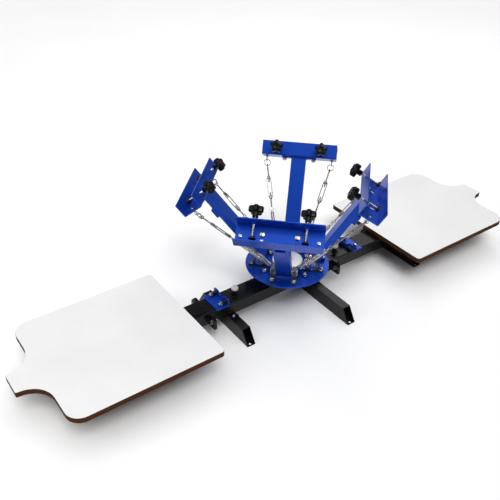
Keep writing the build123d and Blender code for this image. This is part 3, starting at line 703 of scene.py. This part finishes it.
def arm_welds(arm, at):
    """Beads round the arm's end, and round three sides of the block under the arm."""
    shape = Shape()
    end = WEB - 5
    edge = ARM_WIDTH / 2 + 0.4
    flat = ARM_WIDTH / 2 - 2
    near, far, half, under = ARM_BLOCK
    for side in (-1, 1):
        weld(shape, (end, side * edge, -11), (end, side * edge, 11), at)
        weld(shape, (near, side * half, under), (far, side * half, under), at, 1.2)
    weld(shape, (end, -flat, 12.6), (end, flat, 12.6), at, 1.4)
    weld(shape, (end, -flat, -12.8), (end, flat, -12.8), at)
    weld(shape, (far, 1 - half, under), (far, half - 1, under), at, 1.4)
    shape.make(f"{arm}_arm_weld_beads", f"{arm}_arm", BLUE, "blue_paint")


def link_place(arm, side, at):
    """Frame of one spring and its turnbuckle, x from the hook's hole to the head's eye bolt."""
    swing = JOINTS[f"{arm}_springs_swing"]
    across = Vector(swing["axis"])
    hook = Vector(swing["pos_m"]) + across * side * ANCHOR_OUT * MM
    eye = at @ (Vector((EYE[0], side * EYE[1], EYE[2])) * MM)
    along = eye - hook
    level = Vector((0, 0, 1)).cross(along)
    return place(hook, along, along.cross(level)), along.length / MM


def spring(arm, side, link, length):
    """Extension spring: close coils with a hook at each end."""
    wire, coil, pitch = 1.15, 5.35, 2.55
    low_hook, high_hook, bend, steps = 6.5, 6, radians(265), 8
    start, top = HOOK, length - SPRING_TOP
    last = int((top - start) / pitch) * COIL_SIDES
    points = []
    for i in range(steps + 1):
        a = pi + radians(30) + i / steps * bend
        points.append((low_hook + low_hook * cos(a), 0, low_hook * sin(a)))
    for i in range(last + 1):
        a = 2 * pi * i / COIL_SIDES
        ease = min(1, i / 10, (last - i) / 10)
        r = coil * (0.35 + 0.65 * ease)
        points.append((start + 2 + (top - start - 4) * i / last, r * sin(a), r * cos(a)))
    for i in range(steps + 1):
        a = radians(-85) + i / steps * bend
        points.append((top + high_hook + high_hook * cos(a), high_hook * sin(a), 0))
    shape = Shape()
    shape.tube(points, wire, link, 7)
    hand = "a" if side < 0 else "b"
    stands_for = [f"{arm}_springs"] if side < 0 else ()
    piece = shape.make(f"{arm}_spring_{hand}", None, SPRING_STEEL, "zinc_plate", stands_for)
    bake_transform(piece)


def turnbuckle(shape, link, length):
    """Split ring, eye bolts, open turnbuckle body and their threads, down from the head."""
    ring, upper_eye, lower_eye = 11, 22, 165
    flat = local(link, (length, 0, 0), (-1, 0, 0), (0, 0, 1))
    for lift in (-1.05, 1.05):
        torus(shape, local(flat, (ring, 0, lift)), ring, 1.0, 36, 8)
    edge = local(flat, (0, 0, 0), (1, 0, 0), (0, 1, 0))
    for eye in (upper_eye, lower_eye):
        torus(shape, local(edge, (eye, 0, 0)), 5, 1.5)
    along = local(flat, (0, 0, 0), (0, 1, 0), (1, 0, 0))
    screw(shape, local(along, (0, 0, 26)), 2.5, 56, 0.9, 12)
    screw(shape, local(along, (0, 0, 118)), 2.5, 42, 0.9, 12)
    for start, out in ((62, 1), (138, -1)):
        boss = local(along, (0, 0, start), (0, 1, 0), (0, 0, out))
        shape.lathe([(2.6, 0), (4.2, 0), (4.8, 0.6), (4.8, 6), (4.2, 9), (2.6, 9)], boss, 20, joined=True)
        nut(shape, local(boss, (0, 0, -3.3)), 8, 3.2, 2.5)
    for side in (-1, 1):
        path = [(64, side * 4, 0), (66, side * 6, 0), (69, side * 6.8, 0), (100, side * 6.9, 0),
                (131, side * 6.8, 0), (134, side * 6, 0), (136, side * 4, 0)]
        shape.tube(path, 1.7, flat, 10)


def springs_and_turnbuckles(arm, at):
    """Both of an arm's springs, and its two turnbuckles in one piece."""
    shape = Shape()
    for side in (-1, 1):
        link, length = link_place(arm, side, at)
        spring(arm, side, link, length)
        turnbuckle(shape, link, length)
    body = f"{arm}_turnbuckles"
    shape.make(f"{arm}_turnbuckle_links", body, LINK_STEEL, "zinc_plate", [body])


def knob(arm, hand, at):
    """Five-lobed knob with a domed top, a collar and its threaded stud."""
    base = HEAD_HIGH + 28
    collar = HEAD_HIGH + 14
    grip = Shape()
    levels = [(0.80, 0.0), (0.93, 0.7), (1.0, 3.0), (1.0, 13.5), (0.975, 16.5), (0.90, 18.6), (0.76, 19.8),
              (0.56, 20.0), (0.50, 19.9), (0.47, 19.0), (0.44, 18.8)]
    loops = []
    for scale, lift in levels:
        loop = []
        for a in turns(80):
            lobe = 0.5 + 0.5 * cos(5 * a)
            keep = min(1.0, max(0.0, (scale - 0.45) / 0.45))
            r = scale * (KNOB_VALLEY + KNOB_LOBE * lobe ** 0.8 * keep)
            loop.append((r * cos(a), r * sin(a), base + lift))
        loops.append(loop)
    grip.rings(loops, at)
    grip.lathe([(9.0, collar), (9.0, base - 3), (10.5, base + 0.5)], at, 32)
    body = f"{arm}_knob_{hand}"
    grip.make(f"{body}_grip", body, KNOB_PLASTIC, "black_plastic", [body], angle=50)
    stud = Shape()
    tip = PAD_LOW + 3.3
    screw(stud, local(at, (0, 0, tip)), 3.97, collar - 0.5 - tip)
    stud.make(f"{body}_stud", body, ZINC, "zinc_plate")


def pad(arm, hand, at):
    """Swivel pad: a dished foot with a rolled cup round the stud's tip."""
    shape = Shape()
    foot = local(at, (0, 0, PAD_LOW))
    shape.lathe([(8, 0.5), (10, 0), (10.6, 0.3), (11, 1.2), (10.7, 2.4), (9.6, 3), (7.4, 3.2), (6.8, 4),
                 (6.5, 7.4), (6.1, 7.9), (4.4, 7.9), (4.1, 7.4), (4.1, 3.2), (1.0, 3.1)], foot, 40)
    name = f"{arm}_pad_{hand}"
    shape.make(f"{name}_foot", name, BROWN, "zinc_plate", [name], angle=28)


for arm in ARMS:
    at = arm_place(arm)
    head_fasteners(arm, at)
    arm_welds(arm, at)
    springs_and_turnbuckles(arm, at)
    for side, hand in ((-1, "a"), (1, "b")):
        spot = local(at, (KNOB[0], side * KNOB[1], 0))
        knob(arm, hand, spot)
        pad(arm, hand, spot)


# ---------------------------------------------------------------- studio
def studio():
    """Pale floor, a dome-lit world and soft lights."""
    world = bpy.data.worlds.new("studio")
    bpy.context.scene.world = world
    world.use_nodes = True
    links = world.node_tree.links
    nodes = world.node_tree.nodes
    background = nodes["Background"]
    background.inputs["Color"].default_value = (1.0, 1.0, 1.0, 1)
    height = nodes.new("ShaderNodeSeparateXYZ")
    links.new(nodes.new("ShaderNodeTexCoord").outputs["Generated"], height.inputs["Vector"])
    dome = nodes.new("ShaderNodeMapRange")
    for key, number in (("From Min", 0.62), ("From Max", 0.86), ("To Min", 0.12), ("To Max", 1.2)):
        dome.inputs[key].default_value = number
    links.new(height.outputs["Z"], dome.inputs["Value"])
    links.new(dome.outputs["Result"], background.inputs["Strength"])

    mesh = bpy.data.meshes.new("studio_floor")
    reach = 30
    mesh.from_pydata([(-reach, -reach, 0), (reach, -reach, 0), (reach, reach, 0), (-reach, reach, 0)], [],
                     [(0, 1, 2, 3)])
    floor = bpy.data.objects.new("studio_floor", mesh)
    floor.location.z = -0.0005
    bpy.context.scene.collection.objects.link(floor)
    pale = Nodes("floor_paper", Specular_IOR_Level=0.1)
    tone = pale.mix(pale.span(pale.noise(2, 3), 0.3, 0.7, 0, 1), (0.93, 0.93, 0.93), (0.95, 0.95, 0.95))
    mesh.materials.append(pale.finish(tone, pale.span(pale.noise(40, 3), 0.3, 0.7, 0.85, 0.95)))

    for name, place_at, kind, size, power in (("key", (-0.6, -1.6, 2.8), "SUN", radians(28), 1.4),
                                              ("fill", (-2.6, 0.2, 1.6), "AREA", 1.8, 14),
                                              ("rim", (1.8, 1.6, 2.2), "AREA", 1.4, 14)):
        light = bpy.data.lights.new(name, kind)
        if kind == "SUN":
            light.angle = size
        else:
            light.size = size
        light.energy = power
        lamp = bpy.data.objects.new(name, light)
        lamp.location = place_at
        aim = Vector((0, 0, 0.15)) - Vector(place_at)
        lamp.rotation_euler = aim.to_track_quat("-Z", "Y").to_euler()
        bpy.context.scene.collection.objects.link(lamp)


def camera():
    """Camera above the left board's near side, looking over the machine."""
    yaw, pitch, roll = radians(35.67), radians(34.58), radians(0.54)
    ahead = Vector((sin(yaw) * cos(pitch), cos(yaw) * cos(pitch), -sin(pitch)))
    right = Vector((cos(yaw), -sin(yaw), 0))
    up = right.cross(ahead)
    tilted_right = right * cos(roll) + up * sin(roll)
    tilted_up = up * cos(roll) - right * sin(roll)
    lens = bpy.data.cameras.new("camera")
    lens.lens = 48.7
    lens.sensor_width = 36
    lens.clip_end = 100
    viewer = bpy.data.objects.new("camera", lens)
    axes = Matrix((tilted_right, tilted_up, -ahead)).transposed().to_4x4()
    viewer.matrix_world = Matrix.Translation((-1.1776, -1.4263, 1.4570)) @ axes
    bpy.context.scene.collection.objects.link(viewer)
    bpy.context.scene.camera = viewer


studio()
camera()
scene = bpy.context.scene
scene.view_settings.view_transform = "Standard"
